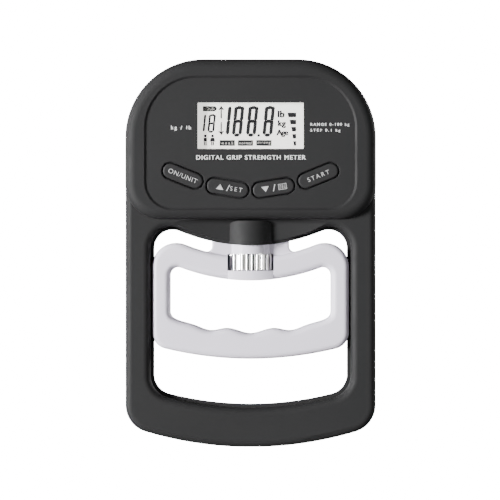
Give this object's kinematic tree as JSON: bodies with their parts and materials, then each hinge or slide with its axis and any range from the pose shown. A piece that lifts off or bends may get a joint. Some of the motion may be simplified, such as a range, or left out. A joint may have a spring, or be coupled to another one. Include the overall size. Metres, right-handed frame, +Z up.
{
  "type": "hand dynamometer",
  "caption": "Electronic grip-strength meter: a rigid loop with a display head, and a light handle that slides in the loop and hangs on a knurled adjusting screw.",
  "frame": {"origin": "middle of the bounding box's bottom: on the centre plane, at mid depth (the adjusting screw's axis), on the small flat under the bottom grip bar", "axes": "+Z up towards the display head, the display faces -Y, +Y out of the flat back, X from side to side"},
  "size_m": [0.125, 0.03, 0.1935],
  "materials": {
    "housing_plastic": "fine satin texture, moulded dark grey",
    "button_plastic": "satin, dark grey, printed legends",
    "handle_plastic": "satin, light grey",
    "chrome": "bright, knurled",
    "screw_steel": "machined thread, zinc plated",
    "zinc_steel": "zinc plated",
    "clear_plastic": "clear, polished",
    "lcd_glass": "reflective display, warm grey",
    "zebra_rubber": "matte elastomer strip",
    "board_laminate": "green solder mask",
    "chip_epoxy": "moulded epoxy",
    "switch_plastic": "moulded nylon",
    "cell_aluminium": "milled",
    "gauge_foil": "polyimide foil",
    "lead_jacket": "flexible PVC",
    "battery_can": "plain printed sleeve",
    "contact_steel": "nickel plated"
  },
  "bodies": {
    "housing": {"front_shell": "housing_plastic", "rear_shell": "housing_plastic", "case_screws": "zinc_steel", "lcd_window": "clear_plastic", "lcd_panel": "lcd_glass", "zebra_strips": "zebra_rubber", "main_board": "board_laminate", "board_screws": "zinc_steel", "board_chips": "chip_epoxy", "button_switches": "switch_plastic", "load_cell": "cell_aluminium", "strain_gauges": "gauge_foil", "thread_coupler": "zinc_steel", "anchor_plate": "zinc_steel", "anchor_bolt": "zinc_steel", "anchor_screws": "zinc_steel", "cell_lead": "lead_jacket", "batteries": "battery_can", "battery_springs": "contact_steel", "battery_contacts": "contact_steel", "battery_leads": "lead_jacket"},
    "handle": {"handle": "handle_plastic"},
    "adjusting_screw": {"adjusting_rod": "screw_steel", "adjusting_nut": "chrome"},
    "battery_door": {"battery_door": "housing_plastic"},
    "key_on_unit": {"button_on_unit": "button_plastic", "plunger_on_unit": "switch_plastic"},
    "key_up_set": {"button_up_set": "button_plastic", "plunger_up_set": "switch_plastic"},
    "key_down_memory": {"button_down_memory": "button_plastic", "plunger_down_memory": "switch_plastic"},
    "key_start": {"button_start": "button_plastic", "plunger_start": "switch_plastic"}
  },
  "joints": [
    {"name": "nut_spin", "type": "hinge", "parent": "handle", "child": "adjusting_screw", "pos_m": [0, 0, 0.09225], "axis": [0, 0, 1], "range_deg": [-3743, 1150]},
    {"name": "handle_slide", "type": "slide", "parent": "housing", "child": "handle", "axis": [0, 0, 1], "range_m": [-0.013, 0.004]},
    {"name": "press_on_unit", "type": "slide", "parent": "housing", "child": "key_on_unit", "axis": [0, 1, 0], "range_m": [0, 0.0005], "stiffness_N_per_m": 3000},
    {"name": "press_up_set", "type": "slide", "parent": "housing", "child": "key_up_set", "axis": [0, 1, 0], "range_m": [0, 0.0005], "stiffness_N_per_m": 3000},
    {"name": "press_down_memory", "type": "slide", "parent": "housing", "child": "key_down_memory", "axis": [0, 1, 0], "range_m": [0, 0.0005], "stiffness_N_per_m": 3000},
    {"name": "press_start", "type": "slide", "parent": "housing", "child": "key_start", "axis": [0, 1, 0], "range_m": [0, 0.0005], "stiffness_N_per_m": 3000},
    {"name": "door_open", "type": "hinge", "parent": "housing", "child": "battery_door", "pos_m": [0, 0.015, 0.1648], "axis": [-1, 0, 0], "range_deg": [0, 50]}
  ],
  "couplings": [
    {"joint": "handle_slide", "follows": "nut_spin", "m_per_rad": 0.00019894}
  ]
}
